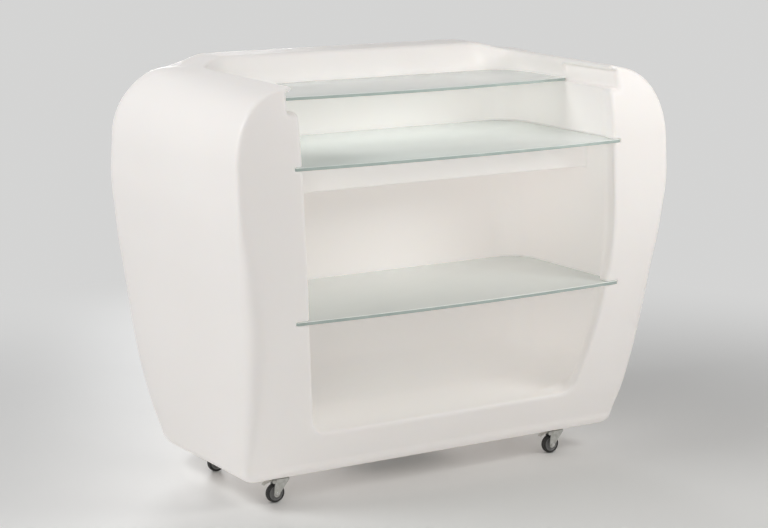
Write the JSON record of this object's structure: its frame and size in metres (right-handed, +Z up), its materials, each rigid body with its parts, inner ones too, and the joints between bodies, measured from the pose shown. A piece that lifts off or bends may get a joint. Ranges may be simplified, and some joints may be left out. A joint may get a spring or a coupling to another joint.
{
  "type": "illuminated bar counter",
  "caption": "White moulded bar counter on swivel castors, with an open service side, a cross deck, frosted glass shelves in grooves and a lamp hatch in the base.",
  "frame": {"origin": "on the floor under the middle of the bounding box", "axes": "+Z up, +X along the counter to the right as seen from the open service side, -Y towards the service side, +Y towards the customer side"},
  "size_m": [1.292, 0.8269, 1.1],
  "materials": {
    "shell_white": "fine-grained satin, rotomoulded polyethylene",
    "shelf_glass": "frosted faces, polished edges",
    "hatch_plate": "zinc plated",
    "hatch_seal": "matt",
    "hatch_screw_steel": "zinc plated",
    "holder_plastic": "satin",
    "bulb_opal": "opal",
    "foot_steel": "zinc plated",
    "gland_plastic": "satin",
    "gland_nut_plastic": "satin",
    "castor_zinc": "zinc plated pressed steel",
    "race_zinc": "zinc plated pressed steel",
    "pin_steel": "zinc plated",
    "fork_zinc": "zinc plated pressed steel",
    "axle_steel": "zinc plated",
    "wheel_nylon": "satin",
    "tyre_rubber": "satin rubber",
    "pedal_steel": "zinc plated pressed steel"
  },
  "bodies": {
    "counter": {"body_shell": "shell_white", "lamp_hatch": "hatch_plate", "hatch_gasket": "hatch_seal", "hatch_screw_1": "hatch_screw_steel", "hatch_screw_2": "hatch_screw_steel", "hatch_screw_3": "hatch_screw_steel", "hatch_screw_4": "hatch_screw_steel", "lamp_holder": "holder_plastic", "led_bulb": "bulb_opal", "lamp_foot": "foot_steel", "cable_gland": "gland_plastic", "gland_nut": "gland_nut_plastic", "castor_plate_front_left": "castor_zinc", "castor_plate_front_right": "castor_zinc", "castor_plate_back_left": "castor_zinc", "castor_plate_back_right": "castor_zinc", "castor_race_front_left": "race_zinc", "castor_race_front_right": "race_zinc", "castor_race_back_left": "race_zinc", "castor_race_back_right": "race_zinc"},
    "shelf_low": {"glass_shelf_low": "shelf_glass"},
    "shelf_middle": {"glass_shelf_middle": "shelf_glass"},
    "shelf_top": {"glass_shelf_top": "shelf_glass"},
    "swivel_front_left": {"castor_fork_front_left": "fork_zinc", "castor_axle_front_left": "axle_steel", "king_pin_front_left": "pin_steel"},
    "wheel_front_left": {"castor_wheel_front_left": "wheel_nylon", "castor_tyre_front_left": "tyre_rubber"},
    "brake_front_left": {"brake_pedal_front_left": "pedal_steel"},
    "swivel_front_right": {"castor_fork_front_right": "fork_zinc", "castor_axle_front_right": "axle_steel", "king_pin_front_right": "pin_steel"},
    "wheel_front_right": {"castor_wheel_front_right": "wheel_nylon", "castor_tyre_front_right": "tyre_rubber"},
    "brake_front_right": {"brake_pedal_front_right": "pedal_steel"},
    "swivel_back_left": {"castor_fork_back_left": "fork_zinc", "castor_axle_back_left": "axle_steel", "king_pin_back_left": "pin_steel"},
    "wheel_back_left": {"castor_wheel_back_left": "wheel_nylon", "castor_tyre_back_left": "tyre_rubber"},
    "swivel_back_right": {"castor_fork_back_right": "fork_zinc", "castor_axle_back_right": "axle_steel", "king_pin_back_right": "pin_steel"},
    "wheel_back_right": {"castor_wheel_back_right": "wheel_nylon", "castor_tyre_back_right": "tyre_rubber"}
  },
  "joints": [
    {"name": "shelf_low_slide", "type": "slide", "parent": "counter", "child": "shelf_low", "axis": [0, -1, 0], "range_m": [0, 0.4]},
    {"name": "shelf_middle_slide", "type": "slide", "parent": "counter", "child": "shelf_middle", "axis": [0, -1, 0], "range_m": [0, 0.46]},
    {"name": "shelf_top_slide", "type": "slide", "parent": "counter", "child": "shelf_top", "axis": [0, -1, 0], "range_m": [0, 0.4]},
    {"name": "swivel_front_left_turn", "type": "hinge", "parent": "counter", "child": "swivel_front_left", "pos_m": [-0.431, -0.2085, 0.0641], "axis": [0, 0, 1], "continuous": true},
    {"name": "wheel_front_left_roll", "type": "hinge", "parent": "swivel_front_left", "child": "wheel_front_left", "pos_m": [-0.453, -0.2085, 0.025], "axis": [0, 1, 0], "continuous": true},
    {"name": "brake_front_left_press", "type": "hinge", "parent": "swivel_front_left", "child": "brake_front_left", "pos_m": [-0.462, -0.2085, 0.0566], "axis": [0, -1, 0], "range_deg": [0, 10]},
    {"name": "swivel_front_right_turn", "type": "hinge", "parent": "counter", "child": "swivel_front_right", "pos_m": [0.431, -0.2085, 0.0641], "axis": [0, 0, 1], "continuous": true},
    {"name": "wheel_front_right_roll", "type": "hinge", "parent": "swivel_front_right", "child": "wheel_front_right", "pos_m": [0.409, -0.2085, 0.025], "axis": [0, 1, 0], "continuous": true},
    {"name": "brake_front_right_press", "type": "hinge", "parent": "swivel_front_right", "child": "brake_front_right", "pos_m": [0.4, -0.2085, 0.0566], "axis": [0, -1, 0], "range_deg": [0, 10]},
    {"name": "swivel_back_left_turn", "type": "hinge", "parent": "counter", "child": "swivel_back_left", "pos_m": [-0.431, 0.1155, 0.0641], "axis": [0, 0, 1], "continuous": true},
    {"name": "wheel_back_left_roll", "type": "hinge", "parent": "swivel_back_left", "child": "wheel_back_left", "pos_m": [-0.453, 0.1155, 0.025], "axis": [0, 1, 0], "continuous": true},
    {"name": "swivel_back_right_turn", "type": "hinge", "parent": "counter", "child": "swivel_back_right", "pos_m": [0.431, 0.1155, 0.0641], "axis": [0, 0, 1], "continuous": true},
    {"name": "wheel_back_right_roll", "type": "hinge", "parent": "swivel_back_right", "child": "wheel_back_right", "pos_m": [0.409, 0.1155, 0.025], "axis": [0, 1, 0], "continuous": true}
  ]
}
